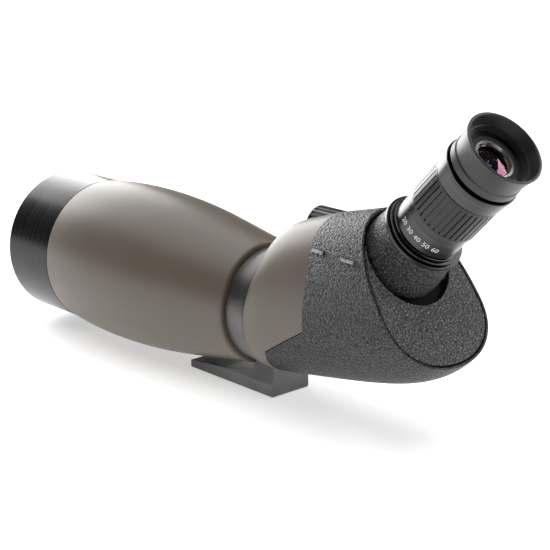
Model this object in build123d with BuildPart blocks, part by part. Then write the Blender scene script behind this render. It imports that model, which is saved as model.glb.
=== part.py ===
from build123d import *
import os
from math import cos, radians, sin, tan

os.makedirs("parts", exist_ok=True)

# An angled 20-60x80 spotting scope. Origin: the mouth of the tripod socket, at the centre
# of the foot's underside. The optical axis runs along X, the objective looks toward -X,
# the eyepiece rises at 45 degrees toward +X, and +Z is up. All lengths are in mm.

# ---------------------------------------------------------------- driving dimensions
# Foot and collar
axis_height = 52.4          # optical axis above the foot's underside
foot_length = 77.0
foot_width = 29.0
foot_thickness = 7.8        # under the collar
foot_toe_thickness = 4.8    # at the thin front end
foot_ramp_length = 32.0     # thin front stretch of the foot
pedestal_width = 18.0       # where the pedestal meets the ring
pedestal_rise = 5.2         # wedge in front of the ring
ring_width = 17.5
ring_radius = 36.2          # outer radius of the collar at its rear rim
ring_taper = 1.6            # how much smaller the front rim is
ring_wall = 5.2             # radial, at the rear rim
ring_setback = 1.0          # ring's rear rim ahead of the foot's rear end
socket_bore_radius = 3.175  # 1/4 inch tripod thread
socket_insert_radius = 5.5
socket_depth = 7.0
pin_hole_radius = 2.25      # anti-twist hole behind the socket
pin_hole_depth = 4.5
pin_hole_distance = 13.0
ring_rim_width = 1.9        # raised rim at the ring's rear
ring_rim_height = 0.7
edge_ease = 0.3             # small chamfer on turned metal edges
foot_ease = 0.5             # chamfer round the foot plate
liner_thickness = 0.9
liner_width = 4.4

# Clamp screw on the right side of the ring
clamp_knob_radius = 9.0
clamp_knob_length = 13.0
clamp_stud_radius = 2.5
clamp_boss_radius = 6.5
clamp_boss_length = 5.0
clamp_pad_radius = 4.0
clamp_pad_thickness = 1.2
clamp_pad_gap = 1.1         # pad to bearing tube with the clamp slack
clamp_pocket_depth = 3.0    # from the ring's bore, for the pad
clamp_stud_grip = 6.0       # stud inside the knob
clamp_knob_rounding = 1.2
clamp_flutes = 12
clamp_flute_radius = 1.3

# Front tube and sunshade
tube_length = 165.2
tube_front_radius = 48.0
tube_swell_radius = 50.9    # largest radius
tube_shoulder_radius = 47.5 # where it starts to narrow
tube_waist_rise = 4.2       # beyond the ring, where it passes over the pedestal
tube_rear_rise = 1.4        # beyond the ring, at its rear end
tube_lip = 1.8              # rounding at the rear end
tube_wall = 3.0
tube_flange_thickness = 5.0
hood_length = 45.4
hood_radius = 48.0
hood_wall = 2.5
hood_ease = 0.6             # chamfer at both rims
hood_liner_width = 10.0
hood_liner_thickness = 0.6
hood_liner_inset = 1.0      # from the sunshade's rear end

# Objective
objective_radius = 41.2     # edge of both lenses; the clear aperture is 80 mm
objective_clear_radius = 40.0
crown_thickness = 12.0
crown_edge = 3.2
flint_thickness = 4.0
flint_edge = 7.6
barrel_wall = 2.0
barrel_setback = 3.9        # barrel's mouth behind the sunshade's mouth
cell_setback = 12.0         # cell's front behind the barrel's mouth
barrel_seat_length = 22.0   # barrel inside the front tube
barrel_stop = 2.0           # ledge that the barrel's rear end rests on
crown_front_sag = 3.7
air_space = 0.3
seal_thickness = 1.0
retaining_ring_length = 3.0
retaining_ring_bevel = 0.8
cell_ledge = 3.0
baffle_places = [0.35, 0.55, 0.75]  # shares of the tube's length
baffle_holes = [36.0, 32.0, 28.0]
baffle_thickness = 1.5

# Bearing tube through the collar
bearing_wall = 2.6
bearing_flange = 4.0
bearing_nut_length = 4.0
bearing_nut_wall = 2.4
bearing_flange_gap = 0.6    # round the flange, inside the front tube
flange_screw_reach = 4.0    # into the front tube's rear flange
flange_screw_count = 6
nut_slots = 6
nut_slot_width = 4.0
nut_slot_depth = 1.5

# Rear housing
housing_front_wall = 4.0
housing_wall = 2.6
armor_thickness = 1.2
rear_wall = 3.0
pad_thickness = 1.5
pad_groove = 1.2
front_opening_drop = 3.2    # inside the ring's radius; the prism holder goes in there
rear_face_tilt = 36.0       # the rear face looks up by this angle
rear_face_distance = 74.5   # rear face from the axes' crossing, along the eyepiece
crossing_distance = 78.9    # crossing of the two optical axes, from the origin along X

# Prism and focusing
prism_face = 38.0
prism_half_width = 13.4
holder_plate_front = 69.0
holder_plate_thickness = 3.0
holder_plate_gap = 0.5      # between the plate and the front opening
holder_plate_top = 17.0     # above the optical axis; the focus arm passes over it
holder_band_drop = 11.0     # wide part of the plate, below the optical axis
holder_plate_drop = 21.0    # its tongue behind the cheeks
holder_tongue_side = 2.0    # tongue past each cheek
holder_cheek_length = 28.0
holder_cheek_drop = 19.0
holder_cheek_rise = 12.0
holder_cheek = 1.8
strap_thickness = 1.2
strap_width = 6.0
strap_foot = 5.0            # strap's ends above the optical axis
arm_bar_top = 26.0          # above the optical axis
arm_bar_height = 6.0
focus_nut_length = 7.0
light_hole_radius = 12.5
lug_reach = 31.0
lug_margin = 3.0            # lug inboard of its screw
lug_width = 12.0            # runs into the housing's wall
lug_height = 10.0
lug_length = 4.0
lug_screw_reach = 3.0
focus_knob_radius = 10.5
focus_knob_length = 26.0
focus_knob_front = 46.5     # knob's front face, from the origin along X
focus_knob_side = 16.0      # to the right of the optical axis
focus_knob_rise = 51.0      # above the optical axis
focus_knob_ribs = 22
focus_pocket_gap = 0.8      # around the knob
focus_pocket_wall = 2.2
focus_knob_rounding = 0.8
focus_groove_radius = 0.85
focus_groove_end = 1.6      # plain rim at both ends of the knob
focus_shaft_start = 4.0     # shaft's end inside the knob
focus_bushing_radius = 5.0
focus_bushing_length = 5.5
focus_shaft_radius = 3.0
focus_screw_radius = 2.0
focus_screw_length = 21.0
focus_nut_radius = 4.0
focus_arm_width = 4.0
focus_travel = 6.0          # each way from the middle
focus_cell_front = 54.0
focus_cell_radius = 19.0
focus_lens_radius = 15.5
focus_cell_length = 8.0
guide_rod_radius = 2.0
guide_rod_reach = 24.5      # rods' distance to each side of the optical axis
rod_start_gap = 1.0         # rods' front ends behind the bearing nut
rod_boss_radius = 4.0
carriage_bar_height = 8.0
lens_seat = 1.2             # radial width of the ledge a lens sits on
lens_seat_length = 1.5
focus_lens_edge = 4.4
focus_lens_front_sag = 1.2  # a hollow front
focus_lens_rear_sag = 1.0
focus_nut_gap = 0.7         # nut to bushing with the focus fully forward

# Eyepiece, stations measured from the crossing of the axes along the eyepiece
eyepiece_angle = 45.0
neck_start = 62.0
neck_end = 92.0
neck_root_radius = 24.4
neck_top_radius = 22.4
neck_bore_radius = 17.0
neck_wall = 2.4
moat_radius = 27.8
moat_shift = 3.0            # the moat's centre lies this far down the rear face
moat_floor = 67.0
neck_boss_radius = 30.0
face_reach = 40.0           # length of a cut along the eyepiece that clears the housing
knob_reach = 30.0           # length of a cut ahead of the knob that clears the housing
neck_nut_length = 3.0
neck_nut_wall = 3.0
neck_armor_ease = 0.8
neck_flange_radius = 23.5
neck_flange_length = 2.0
lock_ring_radius = 22.0
lock_ring_length = 1.4
lock_ring_gap = 0.5         # neck's flange to the lock ring
lock_ring_wall = 2.6
bead_radius = 20.4
bead_length = 1.1
barrel_start = 96.2
eyepiece_barrel_radius = 19.4
barrel_base = 2.0           # thickness of its closed lower end
grip_start = 113.8
grip_end = 137.9
grip_radius = 20.2
grip_ribs = 38
grip_rim = 1.5
grip_groove_depth = 0.8
grip_groove_width = 0.9
cam_start = 99.0
top_ring_end = 148.5
top_ring_radius = 20.5
top_ring_flare = 0.9
cup_start = 150.0
cup_seat_radius = 18.4
cup_waist = 155.4
cup_end = 168.75
cup_base_radius = 20.5
cup_rim_radius = 22.1
cup_floor = 159.0
cup_floor_radius = 17.5
cup_wall = 1.7
cup_crease = 0.5            # depth of the shallow waist
cup_crease_run = 1.0
cup_flare_start = 5.0       # past the waist
cup_ledge = 3.5             # height of the step inside the cup
cup_ledge_width = 0.8
cup_lip = 0.7               # rolled rim's rounding along the axis
eye_lens_lip = 1.0
eye_lens_seat_depth = 2.0
eye_retainer_bevel = 0.8
guide_tube_radius = 14.0
guide_tube_wall = 1.5
cam_tube_wall = 1.5
eye_lens_radius = 10.4
eye_lens_sag = 0.9
eye_retainer_radius = 11.4
eye_retainer_length = 1.6
base_start = 86.0
field_stop_station = 82.0
field_stop_thickness = 1.5
field_stop_hole = 9.0
zoom_pin_radius = 1.0
zoom_pin_root = 0.5         # pin's root outside the lens seat
zoom_pin_tip = 0.1          # pin's tip inside the guide tube's outside
pin_slot_end = 0.5          # room past the pin at each end of its slot
zoom_cell_lip = 0.8
zoom_front_station = 104.0
zoom_rear_station = 126.0
zoom_cell_length = 8.0
zoom_lens_radius = 10.0
zoom_lens_sag = 1.2
front_lens_edge = 4.5
rear_lens_edge = 3.5
zoom_travel_front = 5.0
zoom_travel_rear = 6.0

# Small screws
small_screw_radius = 1.0
small_screw_head = 1.8
small_screw_head_height = 1.2

# Armour's raised dashes, from the axes' crossing along X
dash_starts = [9.5, 35.5]
dash_length = 11.5
dash_width = 2.0
dash_height = 51.6          # above the optical axis
dash_lift = 0.8

# Clearances
running_fit = 0.05          # radial, between a turning or sliding pair
free_gap = 0.3              # between faces of different moving pieces
ring_gap = 0.8              # visible line between the front tube and the collar

# ---------------------------------------------------------------- derived places
ring_rear = foot_length / 2 - ring_setback
ring_front = ring_rear - ring_width
ring_middle = (ring_front + ring_rear) / 2
ring_bore = ring_radius - ring_wall
tube_waist_radius = ring_radius + tube_waist_rise
tube_rear_radius = ring_radius + tube_rear_rise
front_opening_radius = ring_radius - front_opening_drop
holder_plate_radius = front_opening_radius - holder_plate_gap
bearing_radius = ring_bore - liner_thickness - running_fit
bearing_bore = bearing_radius - bearing_wall

tube_rear = ring_front - ring_gap
tube_front = tube_rear - tube_length
hood_rear = tube_front - free_gap
hood_front = hood_rear - hood_length
barrel_radius = hood_radius - hood_wall - hood_liner_thickness
barrel_bore = barrel_radius - barrel_wall
barrel_front = hood_front + barrel_setback
barrel_rear = tube_front + barrel_seat_length

housing_front = ring_rear + 0.5
nut_rear = housing_front + housing_front_wall + bearing_nut_length

eye_tilt = radians(eyepiece_angle)
crossing = Vector(crossing_distance, 0, axis_height)
eye_direction = Vector(cos(eye_tilt), 0, sin(eye_tilt))
optical_axis = Axis((0, 0, axis_height), (1, 0, 0))
eye_axis = Axis(crossing, eye_direction)

# In these planes local x is the station along the axis and local y the radius.
optical_profile = Plane(origin=(0, 0, axis_height), x_dir=(1, 0, 0), z_dir=(0, -1, 0))
eye_profile = Plane(origin=crossing, x_dir=eye_direction, z_dir=(0, -1, 0))
side_plane = Plane(origin=(0, 0, 0), x_dir=(1, 0, 0), z_dir=(0, -1, 0))

# Rear face: its plane, and the line where it meets the housing's front plane. The
# housing's cross sections fan out about that line.
face_tilt = radians(rear_face_tilt)
face_normal = Vector(cos(face_tilt), 0, sin(face_tilt))
down_the_face = Vector(sin(face_tilt), 0, -cos(face_tilt))
face_point = crossing + eye_direction * rear_face_distance
fan_height = face_point.Z + (face_point.X - housing_front) / tan(face_tilt)
fan_drop = fan_height - axis_height

# Each row: fan angle, shift of the widest point, then how far the section swells beyond
# the collar's radius upward, downward and sideways, and its squareness (2 is round).
housing_rows = [
    (0.0, 0.0, 0.0, 0.0, 0.0, 2.00),
    (2.0, -0.3, 12.4, -0.3, 1.2, 2.03),
    (8.0, -1.7, 18.6, -0.6, 2.9, 2.10),
    (18.0, -0.7, 21.4, 0.7, 3.4, 2.15),
    (27.0, 4.4, 24.0, 2.4, 3.1, 2.15),
    (32.0, 9.2, 25.7, 1.0, 2.5, 2.15),
    (36.0, 13.6, 26.7, -4.2, 1.7, 2.15),
]
section_points = 20
form_overrun = 1.0          # degrees that an inner form runs on past the housing's ends


# ---------------------------------------------------------------- shared shapes
def turned(outline, mode=Mode.ADD):
    """Turn an outline of (station, radius) points about the optical axis."""
    with BuildSketch(optical_profile) as profile:
        with BuildLine():
            Polyline(*outline, close=True)
        make_face()
    revolve(profile.sketch, axis=optical_axis, mode=mode)


def eye_turned(outline, mode=Mode.ADD):
    """Turn an outline of (station, radius) points about the eyepiece's axis."""
    with BuildSketch(eye_profile) as profile:
        with BuildLine():
            Polyline(*outline, close=True)
        make_face()
    revolve(profile.sketch, axis=eye_axis, mode=mode)


def lens(front, front_edge, rear_edge, rear, radius, plane, axis, mode=Mode.ADD):
    """Turn a lens from its stations on the axis and at the edge."""
    with BuildSketch(plane) as profile:
        with BuildLine():
            Line((rear, 0), (front, 0))
            TangentArc((front, 0), (front_edge, radius), tangent=(0, 1))
            Line((front_edge, radius), (rear_edge, radius))
            TangentArc((rear, 0), (rear_edge, radius), tangent=(0, 1))
        make_face()
    revolve(profile.sketch, axis=axis, mode=mode)


def tube_outline(start, end, inner, outer, ease=0.0):
    """Outline of a plain tube, its outer edges eased by a small chamfer."""
    if ease == 0.0:
        return [(start, inner), (start, outer), (end, outer), (end, inner)]
    return [
        (start, inner),
        (start, outer - ease),
        (start + ease, outer),
        (end - ease, outer),
        (end, outer - ease),
        (end, inner),
    ]


def post(plane, radius, length, centres=((0, 0),), mode=Mode.ADD):
    """Round posts or holes on a plane, along its normal."""
    with BuildSketch(plane) as profile:
        with Locations(*centres):
            Circle(radius)
    extrude(profile.sketch, amount=length, mode=mode)


def ring_places(radius, count):
    """Centres of a ring of fasteners."""
    turns = [radians(360.0 * step / count) for step in range(count)]
    return [(radius * cos(turn), radius * sin(turn)) for turn in turns]


def eye_plane(station):
    """Plane across the eyepiece at a station; its normal points at the eye."""
    return Plane(origin=crossing + eye_direction * station, x_dir=(0, 1, 0), z_dir=eye_direction)


def cross_plane(station):
    """Plane across the optical axis, looking toward the eyepiece."""
    return Plane(origin=(station, 0, axis_height), x_dir=(0, 1, 0), z_dir=(1, 0, 0))


def face_plane(depth):
    """Plane parallel to the rear face, a depth inside it, centred on the widest point."""
    reach = fan_drop + housing_rows[-1][1]
    origin = Vector(housing_front, 0, fan_height) + down_the_face * reach
    return Plane(origin=origin - face_normal * depth, x_dir=(0, 1, 0), z_dir=face_normal)


def egg_points(row, inset):
    """Points of a closed outline: half a superellipse above and half below."""
    rise = ring_radius + row[2] - inset
    drop = ring_radius + row[3] - inset
    half_width = ring_radius + row[4] - inset
    power = 2 / row[5]
    points = []
    for step in range(section_points):
        turn = radians(360.0 * step / section_points)
        across = half_width * abs(cos(turn)) ** power
        up = (rise if sin(turn) > 0 else drop) * abs(sin(turn)) ** power
        points.append((across if cos(turn) > 0 else -across, up if sin(turn) > 0 else -up))
    return points


def run_on(inner, end, overrun):
    """The housing row that carries on in line past an end row."""
    share = overrun / abs(end[0] - inner[0])
    return tuple(last + (last - before) * share for before, last in zip(inner, end))


def housing_loft(inset, overrun=0.0):
    """The housing's outer form, drawn in by an inset and run on past both ends."""
    rows = list(housing_rows)
    if overrun > 0.0:
        rows = [run_on(rows[1], rows[0], overrun)] + rows + [run_on(rows[-2], rows[-1], overrun)]
    sections = []
    for row in rows:
        fan = radians(row[0])
        reach = fan_drop + row[1]
        origin = (housing_front + reach * sin(fan), 0, fan_height - reach * cos(fan))
        section_plane = Plane(origin=origin, x_dir=(0, 1, 0), z_dir=(cos(fan), 0, sin(fan)))
        with BuildSketch(section_plane) as section:
            with BuildLine():
                Spline(*egg_points(row, inset), periodic=True)
            make_face()
        sections.append(section.sketch)
    loft(sections)


def tube_curve(inset=0.0):
    """Points of the front tube's outline, from the sunshade to the collar, less an inset."""
    return [
        (tube_front, tube_front_radius - inset),
        (tube_front + 0.30 * tube_length, tube_swell_radius - inset),
        (tube_front + 0.60 * tube_length, tube_shoulder_radius - inset),
        (tube_front + 0.88 * tube_length, tube_waist_radius - inset),
        (tube_rear, tube_rear_radius - inset),
    ]


# ---------------------------------------------------------------- helper forms
weld = 1.0                  # how far one form runs into another that it's joined to
pedestal_front = -foot_length / 2 + foot_ramp_length
pedestal_top = axis_height - 0.8 * ring_bore
foot_rear = foot_length / 2
clamp_boss_end = ring_radius + clamp_boss_length
clamp_axis_plane = Plane(origin=(ring_middle, 0, axis_height), x_dir=(1, 0, 0), z_dir=(0, 1, 0))

# The hollow of the front tube, between the barrel's seat and the rear flange
cavity_front = barrel_rear + barrel_stop
cavity_rear = tube_rear - tube_flange_thickness
with BuildPart() as tube_cavity:
    with BuildSketch(optical_profile):
        with BuildLine():
            Spline(*tube_curve(tube_wall))
            Polyline(
                (tube_front, tube_front_radius - tube_wall),
                (tube_front, 0),
                (tube_rear, 0),
                (tube_rear, tube_rear_radius - tube_wall),
            )
        make_face()
    revolve(axis=optical_axis)
    split(bisect_by=cross_plane(cavity_front), keep=Keep.TOP)
    split(bisect_by=cross_plane(cavity_rear), keep=Keep.BOTTOM)

# The rear housing's outer form, the surface under its armour, and its hollow
with BuildPart() as housing_form:
    housing_loft(0)

with BuildPart() as under_armor_form:
    housing_loft(armor_thickness, form_overrun)

with BuildPart() as rib_form:
    housing_loft(-dash_lift)

with BuildPart() as housing_cavity:
    housing_loft(armor_thickness + housing_wall, form_overrun)
    split(bisect_by=cross_plane(housing_front + housing_front_wall), keep=Keep.TOP)
    split(bisect_by=face_plane(pad_thickness + rear_wall), keep=Keep.BOTTOM)

# Where the rubber armour covers the housing, seen from the side: (along, above) from the
# crossing of the axes. A curved front edge, then a slanted lower edge with sharp corners.
armor_front_edge = [
    (2.0, 84.0),
    (4.2, 64.7),
    (6.4, 55.9),
    (9.2, 49.5),
    (11.6, 41.8),
    (12.9, 26.0),
    (13.2, 6.6),
]
armor_lower_edge = [
    (13.2, 6.6),
    (-23.9, -15.2),
    (-29.6, -25.4),
    (-32.5, -46.0),
    (120.0, -46.0),
    (120.0, 84.0),
    (2.0, 84.0),
]


def from_crossing(points):
    """Points given from the crossing of the axes, in the side plane."""
    return [(crossing.X + along, axis_height + above) for along, above in points]


with BuildPart() as armor_zone:
    with BuildSketch(side_plane):
        with BuildLine():
            Spline(*from_crossing(armor_front_edge))
            Polyline(*from_crossing(armor_lower_edge))
        make_face()
    extrude(amount=2 * ring_radius, both=True)

# ---------------------------------------------------------------- collar and foot
with BuildPart() as mount_collar:
    # Pedestal: tapers from the foot's full width up to the ring, low under the tube
    with BuildSketch(Plane.XY.offset(foot_thickness)):
        with Locations(((pedestal_front + foot_rear) / 2, 0)):
            Rectangle(foot_rear - pedestal_front, foot_width)
    with BuildSketch(Plane.XY.offset(pedestal_top)):
        with Locations((ring_middle, 0)):
            Rectangle(ring_width, pedestal_width)
    loft()
    with BuildSketch(side_plane):
        with BuildLine():
            Polyline(
                (pedestal_front, foot_thickness),
                (ring_front, foot_thickness + pedestal_rise),
                (ring_front, pedestal_top),
                (ring_rear, pedestal_top),
                (ring_rear, axis_height - ring_radius),
                (foot_rear, foot_thickness),
                close=True,
            )
        make_face()
    extrude(amount=foot_width, both=True, mode=Mode.INTERSECT)
    # Foot plate, thinner toward its toe
    with BuildSketch(side_plane):
        with BuildLine():
            Polyline(
                (-foot_length / 2, 0),
                (foot_rear, 0),
                (foot_rear, foot_thickness),
                (pedestal_front, foot_thickness),
                (-foot_length / 2, foot_toe_thickness),
                close=True,
            )
        make_face()
    extrude(amount=foot_width / 2, both=True)
    chamfer(mount_collar.edges().filter_by_position(Axis.Z, 0, 0), foot_ease)
    # Clamp boss on the right
    with BuildSketch(clamp_axis_plane.offset(ring_bore + weld)):
        Circle(clamp_boss_radius)
    extrude(amount=clamp_boss_end - ring_bore - weld)
    # Ring with a raised rear rim
    turned([
        (ring_front, ring_bore - weld),
        (ring_front, ring_radius - ring_taper - edge_ease),
        (ring_front + edge_ease, ring_radius - ring_taper),
        (ring_rear - ring_rim_width - 0.5, ring_radius - ring_rim_height),
        (ring_rear - ring_rim_width, ring_radius),
        (ring_rear - edge_ease, ring_radius),
        (ring_rear, ring_radius - edge_ease),
        (ring_rear, ring_bore - weld),
    ])
    turned(tube_outline(ring_front, ring_rear, 0, ring_bore), mode=Mode.SUBTRACT)
    # Clamp screw's hole and the pad's pocket
    with BuildSketch(clamp_axis_plane.offset(ring_bore - weld)):
        Circle(clamp_pad_radius + running_fit)
    extrude(amount=weld + clamp_pocket_depth, mode=Mode.SUBTRACT)
    with BuildSketch(clamp_axis_plane.offset(ring_bore)):
        Circle(clamp_stud_radius + running_fit)
    extrude(amount=clamp_boss_end, mode=Mode.SUBTRACT)
    # Tripod socket and the anti-twist pin hole behind it
    with BuildSketch(Plane.XY):
        Circle(socket_insert_radius)
    extrude(amount=socket_depth, mode=Mode.SUBTRACT)
    with BuildSketch(Plane.XY):
        with Locations((pin_hole_distance, 0)):
            Circle(pin_hole_radius)
    extrude(amount=pin_hole_depth, mode=Mode.SUBTRACT)
mount_collar.part.label = "mount_collar"
export_step(mount_collar.part, "parts/mount_collar.step")

with BuildPart() as socket_insert:
    with BuildSketch(Plane.XY):
        Circle(socket_insert_radius)
        Circle(socket_bore_radius, mode=Mode.SUBTRACT)
    extrude(amount=socket_depth)
socket_insert.part.label = "socket_insert"
export_step(socket_insert.part, "parts/socket_insert.step")

liner_bore = ring_bore - liner_thickness
with BuildPart() as collar_liner_front:
    turned(tube_outline(ring_front, ring_front + liner_width, liner_bore, ring_bore))
collar_liner_front.part.label = "collar_liner_front"
export_step(collar_liner_front.part, "parts/collar_liner_front.step")

with BuildPart() as collar_liner_rear:
    turned(tube_outline(ring_rear - liner_width, ring_rear, liner_bore, ring_bore))
collar_liner_rear.part.label = "collar_liner_rear"
export_step(collar_liner_rear.part, "parts/collar_liner_rear.step")

# Clamp: the stud presses the pad against the bearing tube
pad_face = bearing_radius + clamp_pad_gap
stud_start = pad_face + clamp_pad_thickness + running_fit
knob_start = clamp_boss_end + clamp_pad_gap + free_gap
with BuildPart() as clamp_pad:
    with BuildSketch(clamp_axis_plane.offset(pad_face)):
        Circle(clamp_pad_radius)
    extrude(amount=clamp_pad_thickness)
clamp_pad.part.label = "clamp_pad"
export_step(clamp_pad.part, "parts/clamp_pad.step")

with BuildPart() as clamp_stud:
    with BuildSketch(clamp_axis_plane.offset(stud_start)):
        Circle(clamp_stud_radius)
    extrude(amount=knob_start + clamp_stud_grip - stud_start)
clamp_stud.part.label = "clamp_stud"
export_step(clamp_stud.part, "parts/clamp_stud.step")

clamp_knob_plane = clamp_axis_plane.offset(knob_start)
with BuildPart() as clamp_knob:
    with BuildSketch(clamp_knob_plane):
        Circle(clamp_knob_radius)
    extrude(amount=clamp_knob_length)
    outer_rim = clamp_knob.edges().filter_by(GeomType.CIRCLE).sort_by(Axis.Y)[-1]
    fillet(outer_rim, clamp_knob_rounding)
    with BuildSketch(clamp_knob_plane):
        with PolarLocations(clamp_knob_radius + clamp_flute_radius / 2, clamp_flutes):
            Circle(clamp_flute_radius)
    extrude(amount=clamp_knob_length, mode=Mode.SUBTRACT)
    with BuildSketch(clamp_knob_plane):
        Circle(clamp_stud_radius)
    extrude(amount=clamp_stud_grip, mode=Mode.SUBTRACT)
clamp_knob.part.label = "clamp_knob"
export_step(clamp_knob.part, "parts/clamp_knob.step")

# ---------------------------------------------------------------- sunshade
with BuildPart() as sunshade_tube:
    turned(tube_outline(hood_front, hood_rear, hood_radius - hood_wall, hood_radius, hood_ease))
sunshade_tube.part.label = "sunshade_tube"
export_step(sunshade_tube.part, "parts/sunshade_tube.step")

with BuildPart() as sunshade_liner:
    turned(
        tube_outline(
            hood_rear - hood_liner_inset - hood_liner_width,
            hood_rear - hood_liner_inset,
            barrel_radius + running_fit,
            hood_radius - hood_wall,
        )
    )
sunshade_liner.part.label = "sunshade_liner"
export_step(sunshade_liner.part, "parts/sunshade_liner.step")

# ---------------------------------------------------------------- front tube
bearing_flange_radius = tube_rear_radius - tube_wall - bearing_flange_gap
flange_front = cavity_rear - bearing_flange
flange_screws = ring_places((bearing_flange_radius + bearing_radius) / 2, flange_screw_count)
with BuildPart() as front_tube:
    with BuildSketch(optical_profile):
        with BuildLine():
            Spline(*tube_curve())
            Polyline(
                (tube_front, tube_front_radius),
                (tube_front, 0),
                (tube_rear, 0),
                (tube_rear, tube_rear_radius),
            )
        make_face()
    revolve(axis=optical_axis)
    rear_rim = front_tube.edges().filter_by(GeomType.CIRCLE).sort_by(Axis.X)[-1]
    fillet(rear_rim, tube_lip)
    add(tube_cavity.part, mode=Mode.SUBTRACT)
    turned(tube_outline(tube_front, barrel_rear, 0, barrel_radius), Mode.SUBTRACT)
    turned(tube_outline(barrel_rear, cavity_front, 0, barrel_bore), Mode.SUBTRACT)
    turned(tube_outline(cavity_rear, tube_rear, 0, bearing_radius), Mode.SUBTRACT)
    post(
        cross_plane(cavity_rear),
        small_screw_radius,
        flange_screw_reach,
        flange_screws,
        Mode.SUBTRACT,
    )
front_tube.part.label = "front_tube"
export_step(front_tube.part, "parts/front_tube.step")

with BuildPart() as objective_barrel:
    turned(tube_outline(barrel_front, barrel_rear, barrel_bore, barrel_radius))
objective_barrel.part.label = "objective_barrel"
export_step(objective_barrel.part, "parts/objective_barrel.step")

# Rings that stop stray light, each filling the tube's wall to wall
with BuildPart() as tube_baffles:
    for share, hole in zip(baffle_places, baffle_holes):
        station = tube_front + share * tube_length
        turned(tube_outline(station, station + baffle_thickness, hole, tube_swell_radius))
    add(tube_cavity.part, mode=Mode.INTERSECT)
tube_baffles.part.label = "tube_baffles"
export_step(tube_baffles.part, "parts/tube_baffles.step")

# ---------------------------------------------------------------- objective
cell_front = barrel_front + cell_setback
crown_front_edge = cell_front + retaining_ring_length + seal_thickness
crown_front = crown_front_edge - crown_front_sag
crown_rear = crown_front + crown_thickness
crown_rear_edge = crown_front_edge + crown_edge
flint_front = crown_rear + air_space
flint_front_edge = crown_rear_edge + air_space
flint_rear_edge = flint_front_edge + flint_edge
flint_rear = flint_front + flint_thickness
cell_rear = flint_rear_edge + cell_ledge
crown_stations = (crown_front, crown_front_edge, crown_rear_edge, crown_rear)
flint_stations = (flint_front, flint_front_edge, flint_rear_edge, flint_rear)

with BuildPart() as objective_cell:
    turned([
        (cell_front, objective_radius),
        (cell_front, barrel_bore),
        (cell_rear, barrel_bore),
        (cell_rear, objective_clear_radius),
        (flint_rear_edge, objective_clear_radius),
        (flint_rear_edge, objective_radius),
    ])
    lens(*flint_stations, objective_radius, optical_profile, optical_axis, Mode.SUBTRACT)
objective_cell.part.label = "objective_cell"
export_step(objective_cell.part, "parts/objective_cell.step")

with BuildPart() as objective_crown_lens:
    lens(*crown_stations, objective_radius, optical_profile, optical_axis)
objective_crown_lens.part.label = "objective_crown_lens"
export_step(objective_crown_lens.part, "parts/objective_crown_lens.step")

with BuildPart() as objective_flint_lens:
    lens(*flint_stations, objective_radius, optical_profile, optical_axis)
objective_flint_lens.part.label = "objective_flint_lens"
export_step(objective_flint_lens.part, "parts/objective_flint_lens.step")

with BuildPart() as objective_spacer:
    turned(
        tube_outline(
            crown_rear_edge,
            flint_front_edge + air_space,
            objective_clear_radius,
            objective_radius,
        )
    )
    add(objective_crown_lens.part, mode=Mode.SUBTRACT)
    add(objective_flint_lens.part, mode=Mode.SUBTRACT)
objective_spacer.part.label = "objective_spacer"
export_step(objective_spacer.part, "parts/objective_spacer.step")

with BuildPart() as objective_seal:
    turned(
        tube_outline(
            cell_front + retaining_ring_length,
            crown_front_edge,
            objective_clear_radius,
            objective_radius,
        )
    )
    add(objective_crown_lens.part, mode=Mode.SUBTRACT)
objective_seal.part.label = "objective_seal"
export_step(objective_seal.part, "parts/objective_seal.step")

with BuildPart() as objective_retaining_ring:
    turned([
        (cell_front, objective_clear_radius + retaining_ring_bevel),
        (cell_front, objective_radius),
        (cell_front + retaining_ring_length, objective_radius),
        (cell_front + retaining_ring_length, objective_clear_radius),
    ])
objective_retaining_ring.part.label = "objective_retaining_ring"
export_step(objective_retaining_ring.part, "parts/objective_retaining_ring.step")

# ---------------------------------------------------------------- bearing tube
with BuildPart() as bearing_tube:
    turned([
        (flange_front, bearing_bore),
        (flange_front, bearing_flange_radius),
        (cavity_rear, bearing_flange_radius),
        (cavity_rear, bearing_radius),
        (nut_rear, bearing_radius),
        (nut_rear, bearing_bore),
    ])
    post(cross_plane(flange_front), small_screw_radius, bearing_flange, flange_screws, Mode.SUBTRACT)
bearing_tube.part.label = "bearing_tube"
export_step(bearing_tube.part, "parts/bearing_tube.step")

with BuildPart() as bearing_flange_screws:
    post(
        cross_plane(flange_front),
        small_screw_radius,
        bearing_flange + flange_screw_reach,
        flange_screws,
    )
    post(cross_plane(flange_front), small_screw_head, -small_screw_head_height, flange_screws)
bearing_flange_screws.part.label = "bearing_flange_screws"
export_step(bearing_flange_screws.part, "parts/bearing_flange_screws.step")

nut_front = housing_front + housing_front_wall
nut_radius = bearing_radius + bearing_nut_wall
with BuildPart() as bearing_nut:
    turned(tube_outline(nut_front, nut_rear, bearing_radius, nut_radius))
    with BuildSketch(cross_plane(nut_rear)):
        with PolarLocations(nut_radius, nut_slots):
            Rectangle(bearing_nut_wall, nut_slot_width)
    extrude(amount=-nut_slot_depth, mode=Mode.SUBTRACT)
bearing_nut.part.label = "bearing_nut"
export_step(bearing_nut.part, "parts/bearing_nut.step")

# ---------------------------------------------------------------- rear housing
knob_plane = Plane(
    origin=(focus_knob_front, focus_knob_side, axis_height + focus_knob_rise),
    x_dir=(0, 1, 0),
    z_dir=(1, 0, 0),
)
pocket_radius = focus_knob_radius + focus_pocket_gap
pocket_end = focus_knob_length + free_gap
pocket_outside = pocket_end + focus_pocket_wall
lug_front = holder_plate_front + holder_plate_thickness
lug_places = [(-lug_reach, 0), (lug_reach, 0)]
lug_middle = lug_reach - lug_margin + lug_width / 2
neck_tube_radius = neck_bore_radius + neck_wall
moat_centre = (0, -moat_shift)

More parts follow.
